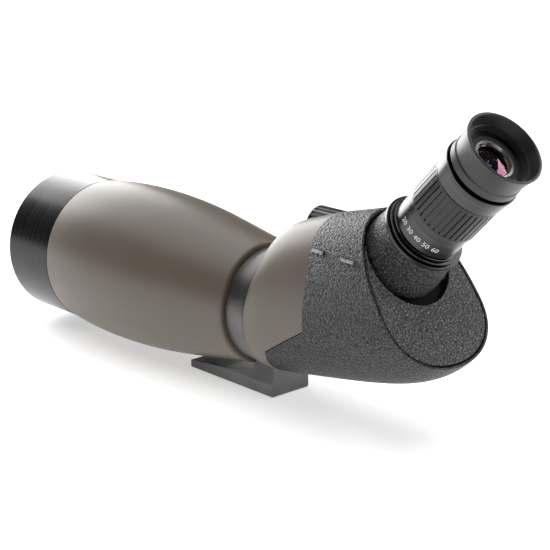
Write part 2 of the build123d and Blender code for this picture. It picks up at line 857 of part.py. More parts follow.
# Walls inside the housing, each trimmed to the form under the armour
with BuildPart() as housing_bosses:
    post(eye_plane(neck_start), neck_boss_radius, face_reach, [moat_centre])
    post(knob_plane, pocket_radius + focus_pocket_wall, pocket_outside)
    with BuildSketch(cross_plane(lug_front)):
        with Locations((-lug_middle, 0), (lug_middle, 0)):
            Rectangle(lug_width, lug_height)
    extrude(amount=lug_length)
    add(under_armor_form.part, mode=Mode.INTERSECT)

# The rubber sleeve, with its two raised dashes on each side
with BuildPart() as armor_dashes:
    with BuildSketch(side_plane):
        for start in dash_starts:
            with Locations((crossing.X + start + dash_length / 2, axis_height + dash_height)):
                SlotOverall(dash_length, dash_width)
    extrude(amount=2 * ring_radius, both=True)
    add(rib_form.part, mode=Mode.INTERSECT)
    add(under_armor_form.part, mode=Mode.SUBTRACT)

with BuildPart() as housing_armor:
    add(housing_form.part)
    add(under_armor_form.part, mode=Mode.SUBTRACT)
    add(armor_zone.part, mode=Mode.INTERSECT)
    add(armor_dashes.part)
housing_armor.part.label = "housing_armor"
export_step(housing_armor.part, "parts/housing_armor.step")

with BuildPart() as rear_housing:
    add(housing_form.part)
    add(housing_armor.part, mode=Mode.SUBTRACT)
    split(bisect_by=face_plane(pad_thickness), keep=Keep.BOTTOM)
    add(housing_cavity.part, mode=Mode.SUBTRACT)
    turned(tube_outline(0, nut_rear + free_gap, 0, front_opening_radius), Mode.SUBTRACT)
    add(housing_bosses.part)
    split(bisect_by=face_plane(pad_thickness), keep=Keep.BOTTOM)
    # Moat around the neck, the neck's bore, the knob's pocket and its bushing's bore
    post(eye_plane(moat_floor), moat_radius, face_reach, [moat_centre], Mode.SUBTRACT)
    post(eye_plane(neck_start - weld), neck_tube_radius, face_reach, mode=Mode.SUBTRACT)
    post(
        knob_plane.offset(-knob_reach),
        pocket_radius,
        knob_reach + pocket_end,
        mode=Mode.SUBTRACT,
    )
    post(knob_plane, focus_bushing_radius, pocket_end + focus_bushing_length, mode=Mode.SUBTRACT)
    post(cross_plane(lug_front), small_screw_radius, lug_length, lug_places, Mode.SUBTRACT)
rear_housing.part.label = "rear_housing"
export_step(rear_housing.part, "parts/rear_housing.step")

with BuildPart() as rear_pad:
    with BuildSketch(face_plane(pad_thickness)):
        with BuildLine():
            Spline(*egg_points(housing_rows[-1], armor_thickness + pad_groove), periodic=True)
        make_face()
    extrude(amount=pad_thickness)
    post(eye_plane(moat_floor), moat_radius, face_reach, [moat_centre], Mode.SUBTRACT)
rear_pad.part.label = "rear_pad"
export_step(rear_pad.part, "parts/rear_pad.step")

with BuildPart() as housing_front_plate:
    turned(tube_outline(housing_front, nut_front, bearing_radius, front_opening_radius))
housing_front_plate.part.label = "housing_front_plate"
export_step(housing_front_plate.part, "parts/housing_front_plate.step")

# ---------------------------------------------------------------- prism
holder_front = cross_plane(holder_plate_front)
apex_x = crossing.X - 0.1464 * prism_face
apex_rise = 0.3536 * prism_face
half_apex = radians(22.5)
with BuildPart() as roof_prism:
    # A Schmidt prism: 45 degree apex on top, a roof edge along the bottom
    with BuildSketch(side_plane):
        with BuildLine():
            Polyline(
                (apex_x, axis_height + apex_rise),
                (apex_x, axis_height + apex_rise - prism_face),
                (
                    apex_x + prism_face * sin(2 * half_apex),
                    axis_height + apex_rise - prism_face * cos(2 * half_apex),
                ),
                close=True,
            )
        make_face()
    extrude(amount=prism_half_width, both=True)
    ridge_plane = Plane(
        origin=(apex_x, 0, axis_height + apex_rise - prism_face),
        x_dir=(0, 1, 0),
        z_dir=(cos(half_apex), 0, sin(half_apex)),
    )
    with BuildSketch(ridge_plane):
        with BuildLine():
            Polyline(
                (0, 0),
                (2 * prism_face, 2 * prism_face),
                (-2 * prism_face, 2 * prism_face),
                close=True,
            )
        make_face()
    extrude(amount=2 * prism_face, both=True, mode=Mode.INTERSECT)
roof_prism.part.label = "roof_prism"
export_step(roof_prism.part, "parts/roof_prism.step")

rod_places = [(-guide_rod_reach, 0), (guide_rod_reach, 0)]
cheek_middle = prism_half_width + holder_cheek / 2
with BuildPart() as prism_holder:
    with BuildSketch(holder_front):
        Circle(holder_plate_radius)
        with Locations((0, -holder_band_drop)):
            Rectangle(
                2 * holder_plate_radius,
                holder_band_drop + holder_plate_top,
                align=(Align.CENTER, Align.MIN),
                mode=Mode.INTERSECT,
            )
        with Locations((0, -holder_plate_drop)):
            Rectangle(
                2 * (prism_half_width + holder_cheek + holder_tongue_side),
                holder_plate_drop,
                align=(Align.CENTER, Align.MIN),
            )
        Circle(light_hole_radius, mode=Mode.SUBTRACT)
    extrude(amount=holder_plate_thickness)
    with BuildSketch(cross_plane(lug_front)):
        with Locations(
            (-cheek_middle, -holder_cheek_drop),
            (cheek_middle, -holder_cheek_drop),
        ):
            Rectangle(
                holder_cheek,
                holder_cheek_drop + holder_cheek_rise,
                align=(Align.CENTER, Align.MIN),
            )
    extrude(amount=holder_cheek_length)
    post(holder_front, guide_rod_radius, holder_plate_thickness, rod_places, Mode.SUBTRACT)
    post(holder_front, small_screw_radius, holder_plate_thickness, lug_places, Mode.SUBTRACT)
prism_holder.part.label = "prism_holder"
export_step(prism_holder.part, "parts/prism_holder.step")

with BuildPart() as prism_holder_screws:
    post(
        holder_front,
        small_screw_radius,
        holder_plate_thickness + lug_screw_reach,
        lug_places,
    )
    post(holder_front, small_screw_head, -small_screw_head_height, lug_places)
prism_holder_screws.part.label = "prism_holder_screws"
export_step(prism_holder_screws.part, "parts/prism_holder_screws.step")

# Spring strap over the apex, screwed to the cheeks
strap_inside = prism_half_width + holder_cheek
strap_outside = strap_inside + strap_thickness
strap_top = apex_rise + strap_thickness
with BuildPart() as prism_clip:
    with BuildSketch(cross_plane(lug_front)):
        with BuildLine():
            Polyline(
                (-strap_outside, strap_foot),
                (-strap_outside, strap_top),
                (strap_outside, strap_top),
                (strap_outside, strap_foot),
                (strap_inside, strap_foot),
                (strap_inside, apex_rise),
                (-strap_inside, apex_rise),
                (-strap_inside, strap_foot),
                close=True,
            )
        make_face()
    extrude(amount=strap_width)
prism_clip.part.label = "prism_clip"
export_step(prism_clip.part, "parts/prism_clip.step")

with BuildPart() as prism_clip_screws:
    for side in (-1, 1):
        head_plane = Plane(
            origin=(
                lug_front + strap_width / 2,
                side * strap_outside,
                axis_height + (strap_foot + holder_cheek_rise) / 2,
            ),
            z_dir=(0, side, 0),
        )
        post(head_plane, small_screw_head, small_screw_head_height)
prism_clip_screws.part.label = "prism_clip_screws"
export_step(prism_clip_screws.part, "parts/prism_clip_screws.step")

rod_front = nut_rear + rod_start_gap
with BuildPart() as guide_rods:
    post(cross_plane(rod_front), guide_rod_radius, lug_front - rod_front, rod_places)
guide_rods.part.label = "guide_rods"
export_step(guide_rods.part, "parts/guide_rods.step")

# ---------------------------------------------------------------- focusing
with BuildPart() as focus_knob:
    post(knob_plane, focus_knob_radius, focus_knob_length)
    rims = focus_knob.edges().filter_by(GeomType.CIRCLE).sort_by(Axis.X)
    fillet([rims[0], rims[-1]], focus_knob_rounding)
    with BuildSketch(knob_plane.offset(focus_groove_end)):
        with PolarLocations(focus_knob_radius, focus_knob_ribs):
            Circle(focus_groove_radius)
    extrude(amount=focus_knob_length - 2 * focus_groove_end, mode=Mode.SUBTRACT)
    post(
        knob_plane.offset(focus_shaft_start),
        focus_shaft_radius,
        focus_knob_length,
        mode=Mode.SUBTRACT,
    )
focus_knob.part.label = "focus_knob"
export_step(focus_knob.part, "parts/focus_knob.step")

bushing_start = pocket_end
screw_start = bushing_start + focus_bushing_length
with BuildPart() as focus_shaft:
    post(
        knob_plane.offset(focus_shaft_start),
        focus_shaft_radius,
        screw_start - focus_shaft_start,
    )
    post(knob_plane.offset(screw_start), focus_screw_radius, focus_screw_length)
focus_shaft.part.label = "focus_shaft"
export_step(focus_shaft.part, "parts/focus_shaft.step")

with BuildPart() as focus_bushing:
    post(knob_plane.offset(bushing_start), focus_bushing_radius, focus_bushing_length)
    post(
        knob_plane.offset(bushing_start),
        focus_shaft_radius + running_fit,
        focus_bushing_length,
        mode=Mode.SUBTRACT,
    )
focus_bushing.part.label = "focus_bushing"
export_step(focus_bushing.part, "parts/focus_bushing.step")

# The carriage: a lens cell on two rods, with an arm up to the screw's nut
cell_plane = cross_plane(focus_cell_front)
nut_place = focus_knob_front + screw_start + focus_travel + focus_nut_gap
arm_top = focus_knob_rise
with BuildPart() as focus_carriage:
    post(cell_plane, focus_cell_radius, focus_cell_length)
    with BuildSketch(cell_plane):
        Rectangle(2 * guide_rod_reach, carriage_bar_height)
        with Locations(*rod_places):
            Circle(rod_boss_radius)
    extrude(amount=focus_cell_length)
    # Bar from the cell, over the prism, then up to the nut
    with BuildSketch(cell_plane):
        with Locations((focus_knob_side, 0)):
            Rectangle(focus_arm_width, arm_bar_top, align=(Align.CENTER, Align.MIN))
    extrude(amount=focus_cell_length / 2)
    with BuildSketch(cell_plane):
        with Locations((focus_knob_side, arm_bar_top)):
            Rectangle(focus_arm_width, arm_bar_height, align=(Align.CENTER, Align.MAX))
    extrude(amount=nut_place + focus_nut_length - focus_cell_front)
    with BuildSketch(cross_plane(nut_place)):
        with Locations((focus_knob_side, arm_bar_top - arm_bar_height)):
            Rectangle(
                focus_arm_width,
                arm_top - arm_bar_top + arm_bar_height,
                align=(Align.CENTER, Align.MIN),
            )
        with Locations((focus_knob_side, arm_top)):
            Circle(focus_nut_radius)
    extrude(amount=focus_nut_length)
    # Bores: the light path with a seat for the lens, the rods and the screw
    post(cell_plane, focus_lens_radius - lens_seat, focus_cell_length, mode=Mode.SUBTRACT)
    post(
        cell_plane,
        focus_lens_radius,
        focus_cell_length - lens_seat_length,
        mode=Mode.SUBTRACT,
    )
    post(
        cell_plane,
        guide_rod_radius + running_fit,
        focus_cell_length,
        rod_places,
        Mode.SUBTRACT,
    )
    post(
        cross_plane(nut_place),
        focus_screw_radius + running_fit,
        focus_nut_length,
        [(focus_knob_side, arm_top)],
        Mode.SUBTRACT,
    )
focus_carriage.part.label = "focus_carriage"
export_step(focus_carriage.part, "parts/focus_carriage.step")

focus_lens_seat = focus_cell_front + focus_cell_length - lens_seat_length
focus_lens_front_edge = focus_lens_seat - focus_lens_edge
with BuildPart() as focusing_lens:
    lens(
        focus_lens_front_edge + focus_lens_front_sag,
        focus_lens_front_edge,
        focus_lens_seat,
        focus_lens_seat - focus_lens_rear_sag,
        focus_lens_radius,
        optical_profile,
        optical_axis,
    )
focusing_lens.part.label = "focusing_lens"
export_step(focusing_lens.part, "parts/focusing_lens.step")

with BuildPart() as focusing_lens_ring:
    turned(
        tube_outline(
            focus_lens_front_edge - lens_seat_length,
            focus_lens_front_edge,
            focus_lens_radius - lens_seat,
            focus_lens_radius,
        )
    )
focusing_lens_ring.part.label = "focusing_lens_ring"
export_step(focusing_lens_ring.part, "parts/focusing_lens_ring.step")

# ---------------------------------------------------------------- neck
with BuildPart() as neck_tube:
    eye_turned([
        (neck_start - neck_nut_length, neck_bore_radius),
        (neck_start - neck_nut_length, neck_tube_radius),
        (neck_end, neck_tube_radius),
        (neck_end, neck_flange_radius - edge_ease),
        (neck_end + edge_ease, neck_flange_radius),
        (neck_end + neck_flange_length - edge_ease, neck_flange_radius),
        (neck_end + neck_flange_length, neck_flange_radius - edge_ease),
        (neck_end + neck_flange_length, neck_bore_radius),
    ])
neck_tube.part.label = "neck_tube"
export_step(neck_tube.part, "parts/neck_tube.step")

with BuildPart() as neck_nut:
    eye_turned(
        tube_outline(
            neck_start - neck_nut_length,
            neck_start,
            neck_tube_radius,
            neck_tube_radius + neck_nut_wall,
            edge_ease,
        )
    )
neck_nut.part.label = "neck_nut"
export_step(neck_nut.part, "parts/neck_nut.step")

with BuildPart() as neck_armor:
    eye_turned([
        (moat_floor, neck_tube_radius),
        (moat_floor, neck_root_radius),
        (rear_face_distance, neck_root_radius),
        (neck_end - neck_armor_ease, neck_top_radius),
        (neck_end, neck_top_radius - neck_armor_ease),
        (neck_end, neck_tube_radius),
    ])
neck_armor.part.label = "neck_armor"
export_step(neck_armor.part, "parts/neck_armor.step")

with BuildPart() as field_stop:
    eye_turned(
        tube_outline(
            field_stop_station,
            field_stop_station + field_stop_thickness,
            field_stop_hole,
            neck_bore_radius,
        )
    )
field_stop.part.label = "field_stop"
export_step(field_stop.part, "parts/field_stop.step")

# ---------------------------------------------------------------- eyepiece, fixed parts
guide_bore = guide_tube_radius - guide_tube_wall
cam_bore = guide_tube_radius + running_fit
cam_radius = cam_bore + cam_tube_wall
neck_face = neck_end + neck_flange_length
with BuildPart() as eyepiece_base:
    # The barrel that drops into the neck, with the shoulder the lock ring holds down
    eye_turned([
        (base_start, guide_tube_radius),
        (base_start, neck_bore_radius - running_fit),
        (neck_face, neck_bore_radius - running_fit),
        (neck_face, lock_ring_radius - lock_ring_wall),
        (barrel_start, lock_ring_radius - lock_ring_wall),
        (barrel_start, guide_tube_radius),
    ])
eyepiece_base.part.label = "eyepiece_base"
export_step(eyepiece_base.part, "parts/eyepiece_base.step")

lock_ring_start = neck_face + lock_ring_gap
with BuildPart() as eyepiece_lock_ring:
    eye_turned(
        tube_outline(
            lock_ring_start,
            lock_ring_start + lock_ring_length,
            lock_ring_radius - lock_ring_wall,
            lock_ring_radius,
            edge_ease,
        )
    )
eyepiece_lock_ring.part.label = "eyepiece_lock_ring"
export_step(eyepiece_lock_ring.part, "parts/eyepiece_lock_ring.step")

barrel_end = grip_start - free_gap
with BuildPart() as eyepiece_barrel:
    eye_turned([
        (barrel_start, guide_tube_radius),
        (barrel_start, bead_radius - edge_ease),
        (barrel_start + edge_ease, bead_radius),
        (barrel_start + bead_length - edge_ease, bead_radius),
        (barrel_start + bead_length, bead_radius - edge_ease),
        (barrel_start + bead_length, eyepiece_barrel_radius),
        (barrel_end, eyepiece_barrel_radius),
        (barrel_end, cam_radius + free_gap),
        (barrel_start + barrel_base, cam_radius + free_gap),
        (barrel_start + barrel_base, guide_tube_radius),
    ])
eyepiece_barrel.part.label = "eyepiece_barrel"
export_step(eyepiece_barrel.part, "parts/eyepiece_barrel.step")

# Straight slots in the guide tube keep the zoom cells from turning
with BuildPart() as lens_guide_tube:
    eye_turned(tube_outline(base_start, cup_start, guide_bore, guide_tube_radius))
    for middle, travel in (
        (zoom_front_station, zoom_travel_front),
        (zoom_rear_station, -zoom_travel_rear),
    ):
        with BuildSketch(eye_profile):
            with Locations((middle + travel / 2, 0)):
                SlotOverall(
                    abs(travel) + 2 * (zoom_pin_radius + pin_slot_end),
                    2 * (zoom_pin_radius + free_gap),
                )
        extrude(amount=guide_tube_radius + weld, mode=Mode.SUBTRACT)
lens_guide_tube.part.label = "lens_guide_tube"
export_step(lens_guide_tube.part, "parts/lens_guide_tube.step")

top_start = grip_end + free_gap
with BuildPart() as eyepiece_top_ring:
    eye_turned([
        (top_start, guide_tube_radius),
        (top_start, top_ring_radius - edge_ease),
        (top_start + edge_ease, top_ring_radius),
        (top_ring_end - edge_ease, top_ring_radius + top_ring_flare),
        (top_ring_end, top_ring_radius + top_ring_flare - edge_ease),
        (top_ring_end, cup_seat_radius),
        (cup_floor, cup_seat_radius),
        (cup_floor, guide_tube_radius),
    ])
eyepiece_top_ring.part.label = "eyepiece_top_ring"
export_step(eyepiece_top_ring.part, "parts/eyepiece_top_ring.step")

# Rubber eyecup: a straight base, a shallow waist, then a flare to a rolled rim
with BuildPart() as eyecup:
    with BuildSketch(eye_profile):
        with BuildLine():
            Polyline(
                (cup_waist, cup_base_radius - cup_crease),
                (cup_waist - cup_crease_run, cup_base_radius),
                (cup_start + cup_crease, cup_base_radius),
                (cup_start, cup_base_radius - cup_crease),
                (cup_start, cup_seat_radius),
                (cup_floor, cup_seat_radius),
                (cup_floor, cup_floor_radius),
                (cup_floor + cup_ledge, cup_floor_radius + free_gap),
                (cup_floor + cup_ledge, cup_floor_radius + free_gap + cup_ledge_width),
                (cup_end - cup_lip, cup_rim_radius - cup_wall),
            )
            ThreePointArc(
                (cup_end - cup_lip, cup_rim_radius - cup_wall),
                (cup_end, cup_rim_radius - cup_wall / 2),
                (cup_end - cup_lip, cup_rim_radius),
            )
            Spline(
                (cup_end - cup_lip, cup_rim_radius),
                (cup_waist + cup_flare_start, cup_base_radius),
                (cup_waist, cup_base_radius - cup_crease),
            )
        make_face()
    revolve(axis=eye_axis)
eyecup.part.label = "eyecup"
export_step(eyecup.part, "parts/eyecup.step")

eye_lens_edge_start = cup_start + eye_lens_seat_depth
eye_lens_edge_end = cup_floor - eye_retainer_length
eye_lens_stations = (
    eye_lens_edge_start + eye_lens_sag / 2,
    eye_lens_edge_start,
    eye_lens_edge_end,
    eye_lens_edge_end + eye_lens_sag,
)
with BuildPart() as eye_lens_cell:
    eye_turned([
        (cup_start, eye_lens_radius - eye_lens_lip),
        (cup_start, guide_tube_radius),
        (cup_floor, guide_tube_radius),
        (cup_floor, eye_retainer_radius),
        (eye_lens_edge_end, eye_retainer_radius),
        (eye_lens_edge_end, eye_lens_radius),
        (eye_lens_edge_start, eye_lens_radius),
        (eye_lens_edge_start, eye_lens_radius - eye_lens_lip),
    ])
eye_lens_cell.part.label = "eye_lens_cell"
export_step(eye_lens_cell.part, "parts/eye_lens_cell.step")

with BuildPart() as eye_lens:
    lens(*eye_lens_stations, eye_lens_radius, eye_profile, eye_axis)
eye_lens.part.label = "eye_lens"
export_step(eye_lens.part, "parts/eye_lens.step")

with BuildPart() as eye_lens_retainer:
    eye_turned([
        (eye_lens_edge_end, eye_lens_radius - eye_lens_lip),
        (eye_lens_edge_end, eye_retainer_radius),
        (cup_floor, eye_retainer_radius),
        (cup_floor, eye_lens_radius - eye_lens_lip + eye_retainer_bevel),
    ])
    lens(*eye_lens_stations, eye_lens_radius, eye_profile, eye_axis, Mode.SUBTRACT)
eye_lens_retainer.part.label = "eye_lens_retainer"
export_step(eye_lens_retainer.part, "parts/eye_lens_retainer.step")

# ---------------------------------------------------------------- zoom ring and cells
grip_length = grip_end - grip_start
with BuildPart() as zoom_grip:
    eye_turned(tube_outline(grip_start, grip_end, cam_radius, grip_radius, edge_ease))
    with BuildSketch(eye_plane(grip_start + grip_rim)):
        with PolarLocations(grip_radius, grip_ribs):
            Rectangle(2 * grip_groove_depth, grip_groove_width)
    extrude(amount=grip_length - 2 * grip_rim, mode=Mode.SUBTRACT)
zoom_grip.part.label = "zoom_grip"
export_step(zoom_grip.part, "parts/zoom_grip.step")

with BuildPart() as zoom_cam_tube:
    eye_turned(tube_outline(cam_start, grip_end, cam_bore, cam_radius))
zoom_cam_tube.part.label = "zoom_cam_tube"
export_step(zoom_cam_tube.part, "parts/zoom_cam_tube.step")


zoom_pin_length = guide_tube_radius - zoom_pin_tip - zoom_lens_radius - zoom_pin_root


def zoom_cell_outline(station):
    """Outline of a sliding lens cell centred on a station."""
    start = station - zoom_cell_length / 2
    end = station + zoom_cell_length / 2
    return [
        (start, zoom_lens_radius - zoom_cell_lip),
        (start, guide_bore - running_fit),
        (end, guide_bore - running_fit),
        (end, zoom_lens_radius),
        (start + lens_seat_length, zoom_lens_radius),
        (start + lens_seat_length, zoom_lens_radius - zoom_cell_lip),
    ]


def zoom_pin_plane(station):
    """Plane through a cell's middle, facing out along its pin."""
    return eye_profile.shift_origin(crossing + eye_direction * station)


with BuildPart() as zoom_front_cell:
    eye_turned(zoom_cell_outline(zoom_front_station))
    post(
        zoom_pin_plane(zoom_front_station).offset(zoom_lens_radius + zoom_pin_root),
        zoom_pin_radius,
        zoom_pin_length,
    )
zoom_front_cell.part.label = "zoom_front_cell"
export_step(zoom_front_cell.part, "parts/zoom_front_cell.step")

rear_lens_start = zoom_rear_station - zoom_cell_length / 2 + lens_seat_length
rear_lens_stations = (
    rear_lens_start - zoom_lens_sag,
    rear_lens_start,
    rear_lens_start + rear_lens_edge,
    rear_lens_start + rear_lens_edge + zoom_lens_sag,
)
with BuildPart() as zoom_rear_cell:
    eye_turned(zoom_cell_outline(zoom_rear_station))
    post(
        zoom_pin_plane(zoom_rear_station).offset(zoom_lens_radius + zoom_pin_root),
        zoom_pin_radius,
        zoom_pin_length,
    )
    lens(*rear_lens_stations, zoom_lens_radius, eye_profile, eye_axis, Mode.SUBTRACT)
zoom_rear_cell.part.label = "zoom_rear_cell"
export_step(zoom_rear_cell.part, "parts/zoom_rear_cell.step")

front_lens_start = zoom_front_station - zoom_cell_length / 2 + lens_seat_length
with BuildPart() as zoom_front_lens:
    lens(
        front_lens_start + zoom_lens_sag,
        front_lens_start,
        front_lens_start + front_lens_edge,
        front_lens_start + front_lens_edge - zoom_lens_sag,
        zoom_lens_radius,
        eye_profile,
        eye_axis,
    )
zoom_front_lens.part.label = "zoom_front_lens"
export_step(zoom_front_lens.part, "parts/zoom_front_lens.step")

with BuildPart() as zoom_rear_lens:
    lens(*rear_lens_stations, zoom_lens_radius, eye_profile, eye_axis)
zoom_rear_lens.part.label = "zoom_rear_lens"
export_step(zoom_rear_lens.part, "parts/zoom_rear_lens.step")
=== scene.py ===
import math

import bpy
from mathutils import Matrix, Vector


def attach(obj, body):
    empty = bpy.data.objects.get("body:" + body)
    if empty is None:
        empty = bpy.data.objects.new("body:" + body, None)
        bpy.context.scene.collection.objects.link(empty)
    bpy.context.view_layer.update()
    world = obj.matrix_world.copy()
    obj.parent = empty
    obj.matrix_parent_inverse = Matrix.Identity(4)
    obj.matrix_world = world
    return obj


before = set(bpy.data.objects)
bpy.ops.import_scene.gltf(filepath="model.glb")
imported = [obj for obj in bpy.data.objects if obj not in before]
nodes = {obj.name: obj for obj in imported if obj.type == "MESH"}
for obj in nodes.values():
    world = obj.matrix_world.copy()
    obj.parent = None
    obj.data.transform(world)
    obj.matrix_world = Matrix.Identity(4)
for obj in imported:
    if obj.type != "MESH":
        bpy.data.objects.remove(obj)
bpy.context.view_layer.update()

scene = bpy.context.scene
bpy.context.view_layer.update()

# The optical axis's height, the crossing of both axes and the eyepiece's direction, all in
# metres in the frame of the part.
AXIS_HEIGHT = 0.0524
CROSSING = Vector((0.0789, 0.0, AXIS_HEIGHT))
EYE_ANGLE = math.radians(45.0)
EYE_DIRECTION = Vector((math.cos(EYE_ANGLE), 0.0, math.sin(EYE_ANGLE)))
BARREL_RADIUS = 0.0194

# Turns that bring a part's axis onto local X, for the materials with turned lines
ALONG_X = (0.0, 0.0, 0.0)
ALONG_Z = (0.0, math.pi / 2, 0.0)
ALONG_EYE = (0.0, EYE_ANGLE, 0.0)


# ------------------------------------------------------------------ node helpers
class Shader:
    """A material with one Principled shader and short calls for the nodes that feed it."""

    def __init__(self, name, colour, roughness, metallic=0.0, **sockets):
        self.material = bpy.data.materials.new(name)
        self.material.use_nodes = True
        self.tree = self.material.node_tree
        self.shader = self.tree.nodes["Principled BSDF"]
        self.material.diffuse_color = (*colour, 1.0)
        self.set("Base Color", (*colour, 1.0))
        self.set("Roughness", roughness)
        self.set("Metallic", metallic)
        for key, value in sockets.items():
            self.set(key.replace("_", " "), value)

    def set(self, socket, value):
        self.shader.inputs[socket].default_value = value

    def link(self, output, socket):
        self.tree.links.new(output, socket)

    def feed(self, socket, output):
        self.link(output, self.shader.inputs[socket])

    def node(self, kind, **values):
        made = self.tree.nodes.new(kind)
        for key, value in values.items():
            setattr(made, key, value)
        return made

    def mapped(self, shift, turn):
        """Object coordinates, in metres, turned and then shifted."""
        mapping = self.node("ShaderNodeMapping")
        mapping.inputs["Location"].default_value = shift
        mapping.inputs["Rotation"].default_value = turn
        self.link(self.node("ShaderNodeTexCoord").outputs["Object"], mapping.inputs["Vector"])
        return mapping.outputs["Vector"]

    def place(self, scale=(1.0, 1.0, 1.0), turn=(0.0, 0.0, 0.0)):
        """Object coordinates, turned and then scaled."""
        return self.vector("MULTIPLY", self.mapped((0.0, 0.0, 0.0), turn), scale)["Vector"]

    def framed(self, name):
        """Coordinates in the frame of the whole part, for the node of that name."""
        stand = nodes[name].matrix_world
        return self.mapped(stand.translation, stand.to_euler())

    def math(self, operation, *values):
        made = self.node("ShaderNodeMath", operation=operation)
        for socket, value in zip(made.inputs, values):
            if isinstance(value, (int, float)):
                socket.default_value = value
            else:
                self.link(value, socket)
        return made.outputs[0]

    def vector(self, operation, first, second):
        """A vector operation with a constant second vector."""
        made = self.node("ShaderNodeVectorMath", operation=operation)
        self.link(first, made.inputs[0])
        made.inputs[1].default_value = second
        return made.outputs

    def dot(self, first, second):
        return self.vector("DOT_PRODUCT", first, second)["Value"]

    def less(self, first, second):
        return self.vector("SUBTRACT", first, second)["Vector"]

    def length(self, source):
        made = self.node("ShaderNodeVectorMath", operation="LENGTH")
        self.link(source, made.inputs[0])
        return made.outputs["Value"]

    def hypotenuse(self, first, second):
        squares = [
            self.math("POWER", self.math("ABSOLUTE", side), 2.0) for side in (first, second)
        ]
        return self.math("SQRT", self.math("ADD", *squares))

    def split(self, source):
        made = self.node("ShaderNodeSeparateXYZ")
        self.link(source, made.inputs[0])
        return made.outputs

    def spread(self, source, low, high, start=0.0, end=1.0):
        """Map a value's range onto another, clamped."""
        made = self.node("ShaderNodeMapRange")
        limits = {"From Min": start, "From Max": end, "To Min": low, "To Max": high}
        for socket, value in limits.items():
            made.inputs[socket].default_value = value
        self.link(source, made.inputs["Value"])
        return made.outputs["Result"]

    def inside(self, distance, limit, edge=0.0001):
        """1 where the distance is under the limit, 0 beyond it."""
        return self.spread(distance, 1.0, 0.0, limit - edge, limit + edge)

    def noise(self, where, scale, detail=2.0, roughness=0.5, output="Fac"):
        made = self.node("ShaderNodeTexNoise")
        made.inputs["Scale"].default_value = scale
        made.inputs["Detail"].default_value = detail
        made.inputs["Roughness"].default_value = roughness
        self.link(where, made.inputs["Vector"])
        return made.outputs[output]

    def cells(self, where, scale, feature):
        made = self.node("ShaderNodeTexVoronoi", feature=feature)
        made.inputs["Scale"].default_value = scale
        self.link(where, made.inputs["Vector"])
        return made.outputs["Distance"]

    def sum(self, first, second, share):
        """first + share x second."""
        return self.math("MULTIPLY_ADD", second, share, first)

    def mix(self, factor, low, high):
        """Mix two colours by a factor; either is a colour or another node's output."""
        made = self.node("ShaderNodeMix", data_type="RGBA")
        ends = [socket for socket in made.inputs if socket.type == "RGBA"]
        for socket, colour in zip(ends, (low, high)):
            if isinstance(colour, tuple):
                socket.default_value = (*colour, 1.0)
            else:
                self.link(colour, socket)
        self.link(factor, made.inputs["Factor"])
        return next(socket for socket in made.outputs if socket.type == "RGBA")

    def tint(self, factor, low, high):
        """Colour the surface between two colours."""
        self.feed("Base Color", self.mix(factor, low, high))

    def over(self, factor, colour):
        """Lay a colour over the surface's colour, where the factor is 1."""
        before = self.shader.inputs["Base Color"].links[0].from_socket
        self.feed("Base Color", self.mix(factor, before, colour))

    def bump(self, height, depth):
        made = self.node("ShaderNodeBump")
        made.inputs["Strength"].default_value = 1.0
        made.inputs["Distance"].default_value = depth
        self.link(height, made.inputs["Height"])
        self.feed("Normal", made.outputs["Normal"])


def scaled(colour, share):
    return tuple(min(1.0, channel * share) for channel in colour)


# ------------------------------------------------------------------ kinds of material
def painted(name, colour, roughness, grain, depth, mottle, **sockets):
    """Sprayed paint: fine orange-peel or crinkle, with soft changes of tone and gloss."""
    patches = 22.0
    patch_range = (0.3, 0.7)
    gloss_change = 0.08
    made = Shader(name, colour, roughness, **sockets)
    where = made.place()
    tone = made.noise(where, patches, detail=4.0)
    made.tint(
        made.spread(tone, 0.0, 1.0, *patch_range),
        scaled(colour, 1.0 - mottle),
        scaled(colour, 1.0 + mottle),
    )
    rough = (roughness * (1.0 - gloss_change), roughness * (1.0 + gloss_change))
    made.feed("Roughness", made.spread(tone, *rough, *patch_range))
    made.bump(made.noise(where, grain, detail=3.0), depth)
    return made


def turned_metal(name, colour, roughness, metallic, turn, lines=3200.0, depth=0.00001):
    """Metal with fine turned lines around an axis, which turn brings onto local X."""
    along_line = 14.0
    bands, along_band = 500.0, 6.0
    band_share = 0.6
    line_range = (0.5, 1.1)
    gloss_change = 0.15
    made = Shader(name, colour, roughness, metallic)
    fine = made.noise(made.place((lines, along_line, along_line), turn), 1.0)
    broad = made.noise(made.place((bands, along_band, along_band), turn), 1.0)
    both = made.sum(fine, broad, band_share)
    made.tint(
        made.spread(both, 0.0, 1.0, *line_range), scaled(colour, 0.8), scaled(colour, 1.25)
    )
    rough = (roughness * (1.0 - gloss_change), roughness * (1.0 + gloss_change))
    made.feed("Roughness", made.spread(both, *rough, *line_range))
    made.bump(both, depth)
    return made.material


